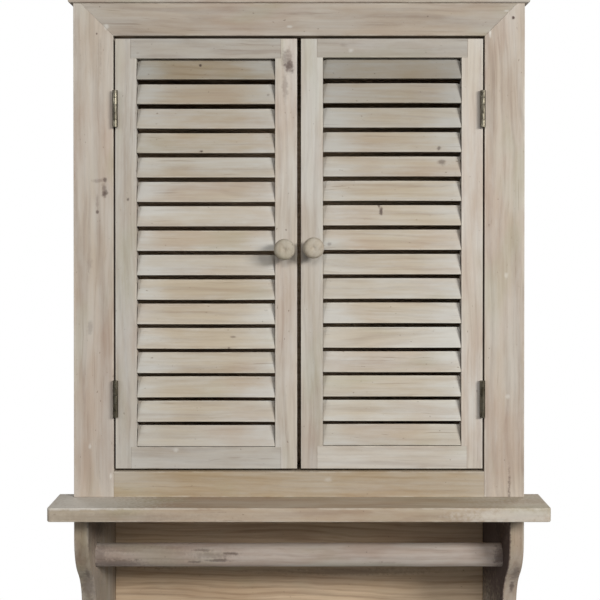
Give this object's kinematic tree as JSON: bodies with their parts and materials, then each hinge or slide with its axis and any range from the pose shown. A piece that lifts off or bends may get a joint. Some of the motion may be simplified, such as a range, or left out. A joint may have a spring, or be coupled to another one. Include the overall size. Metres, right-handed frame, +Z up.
{
  "type": "hanging wall cabinet",
  "caption": "Wall cabinet in limed wood with two inset louvred doors, a ledge under it and a round towel rail between shaped brackets.",
  "frame": {"origin": "on the back panel's rear face, which lies on the wall, midway along the cabinet and level with the top of the ledge", "axes": "+X along the wall to the viewer's right, +Y into the wall, +Z up"},
  "size_m": [0.5, 0.203, 0.7035],
  "materials": {
    "frame_wood": "limed pine, matt",
    "door_wood": "limed pine, matt, greyer than the frame",
    "slat_wood": "limed pine, sanded through in the middle",
    "ledge_wood": "limed pine, worn edges",
    "rail_wood": "limed pine dowel, worn",
    "back_wood": "thin limed board, matt",
    "knob_wood": "turned limed wood",
    "antique_brass": "antiqued brass"
  },
  "bodies": {
    "carcass": {"top_cap": "frame_wood", "face_top_rail": "frame_wood", "face_left_stile": "frame_wood", "face_right_stile": "frame_wood", "face_bottom_rail": "frame_wood", "left_side_panel": "frame_wood", "right_side_panel": "frame_wood", "back_panel": "back_wood", "ledge_shelf": "ledge_wood", "towel_rail": "rail_wood", "left_upper_frame_leaf": "antique_brass", "left_lower_frame_leaf": "antique_brass", "right_upper_frame_leaf": "antique_brass", "right_lower_frame_leaf": "antique_brass"},
    "left_door": {"left_door_lock_stile": "door_wood", "left_door_hinge_stile": "door_wood", "left_door_top_rail": "door_wood", "left_door_bottom_rail": "door_wood", "left_door_slat_01": "slat_wood", "left_door_slat_02": "slat_wood", "left_door_slat_03": "slat_wood", "left_door_slat_04": "slat_wood", "left_door_slat_05": "slat_wood", "left_door_slat_06": "slat_wood", "left_door_slat_07": "slat_wood", "left_door_slat_08": "slat_wood", "left_door_slat_09": "slat_wood", "left_door_slat_10": "slat_wood", "left_door_slat_11": "slat_wood", "left_door_slat_12": "slat_wood", "left_door_slat_13": "slat_wood", "left_door_slat_14": "slat_wood", "left_door_slat_15": "slat_wood", "left_door_slat_16": "slat_wood", "left_door_knob": "knob_wood", "left_door_upper_hinge_leaf": "antique_brass", "left_door_lower_hinge_leaf": "antique_brass"},
    "right_door": {"right_door_lock_stile": "door_wood", "right_door_hinge_stile": "door_wood", "right_door_top_rail": "door_wood", "right_door_bottom_rail": "door_wood", "right_door_slat_01": "slat_wood", "right_door_slat_02": "slat_wood", "right_door_slat_03": "slat_wood", "right_door_slat_04": "slat_wood", "right_door_slat_05": "slat_wood", "right_door_slat_06": "slat_wood", "right_door_slat_07": "slat_wood", "right_door_slat_08": "slat_wood", "right_door_slat_09": "slat_wood", "right_door_slat_10": "slat_wood", "right_door_slat_11": "slat_wood", "right_door_slat_12": "slat_wood", "right_door_slat_13": "slat_wood", "right_door_slat_14": "slat_wood", "right_door_slat_15": "slat_wood", "right_door_slat_16": "slat_wood", "right_door_knob": "knob_wood", "right_door_upper_hinge_leaf": "antique_brass", "right_door_lower_hinge_leaf": "antique_brass"}
  },
  "joints": [
    {"name": "left_door_hinge", "type": "hinge", "parent": "carcass", "child": "left_door", "pos_m": [-0.1885, -0.1631, 0.25], "axis": [0, 0, -1], "range_deg": [0, 170]},
    {"name": "right_door_hinge", "type": "hinge", "parent": "carcass", "child": "right_door", "pos_m": [0.1885, -0.1631, 0.25], "axis": [0, 0, 1], "range_deg": [0, 170]}
  ]
}
